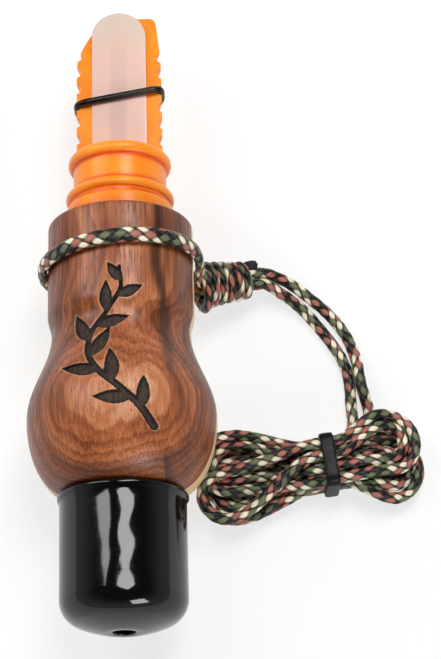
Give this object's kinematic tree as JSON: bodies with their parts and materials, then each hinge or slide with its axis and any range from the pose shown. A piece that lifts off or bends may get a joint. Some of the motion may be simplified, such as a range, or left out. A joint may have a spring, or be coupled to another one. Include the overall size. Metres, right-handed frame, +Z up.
{
  "type": "elk call",
  "caption": "Open-reed elk call: a turned two-wood barrel with a black end cap, an orange mouthpiece with a banded reed, and a knotted neck cord tied in a hank.",
  "frame": {"origin": "on the table under the middle of the call, which lies on its side with its reed face up", "axes": "+X across the call towards the hank, +Y along its axis from the end cap to the reed, +Z up"},
  "size_m": [0.088, 0.15, 0.0418],
  "materials": {
    "walnut": "satin",
    "maple": "satin",
    "black_vinyl": "gloss",
    "orange_plastic": "gloss",
    "reed_film": "translucent satin",
    "black_rubber": "matte",
    "braided_cord": "braided, camouflage"
  },
  "bodies": {
    "barrel": {"walnut_stave": "walnut", "maple_stave": "maple", "neck_loop": "braided_cord", "knot_wraps": "braided_cord", "knot_core": "braided_cord", "cord_strand_out": "braided_cord", "cord_strand_back": "braided_cord", "cord_hank": "braided_cord", "hank_tie": "black_rubber"},
    "cap": {"end_cap": "black_vinyl"},
    "seals": {"tenon_ring_front": "black_rubber", "tenon_ring_rear": "black_rubber"},
    "insert": {"insert_collar": "orange_plastic"},
    "tone_board": {"toneboard": "orange_plastic", "reed_wedge": "orange_plastic"},
    "reed_tongue": {"reed": "reed_film"},
    "band": {"tuning_band": "black_rubber"}
  },
  "joints": [
    {"name": "cap_pull", "type": "slide", "parent": "barrel", "child": "cap", "axis": [0, -1, 0], "range_m": [0, 0.024]},
    {"name": "insert_pull", "type": "slide", "parent": "barrel", "child": "seals", "axis": [0, 1, 0], "range_m": [0, 0.0225]},
    {"name": "insert_turn", "type": "hinge", "parent": "seals", "child": "insert", "pos_m": [0, 0.01823, 0.0209], "axis": [0, 1, 0], "continuous": true},
    {"name": "board_pull", "type": "slide", "parent": "insert", "child": "tone_board", "axis": [0, 1, 0], "range_m": [0, 0.0135]},
    {"name": "band_slide", "type": "slide", "parent": "tone_board", "child": "band", "axis": [0, 1, 0], "range_m": [-0.0089, 0.0089], "deforming": ["tuning_band"]},
    {"name": "reed_flex", "type": "hinge", "parent": "tone_board", "child": "reed_tongue", "pos_m": [0, 0.03578, 0.02135], "axis": [1, 0, 0], "range_deg": [-1.6, 0.5], "stiffness_Nm_per_rad": 0.5, "deforming": ["reed"]}
  ]
}
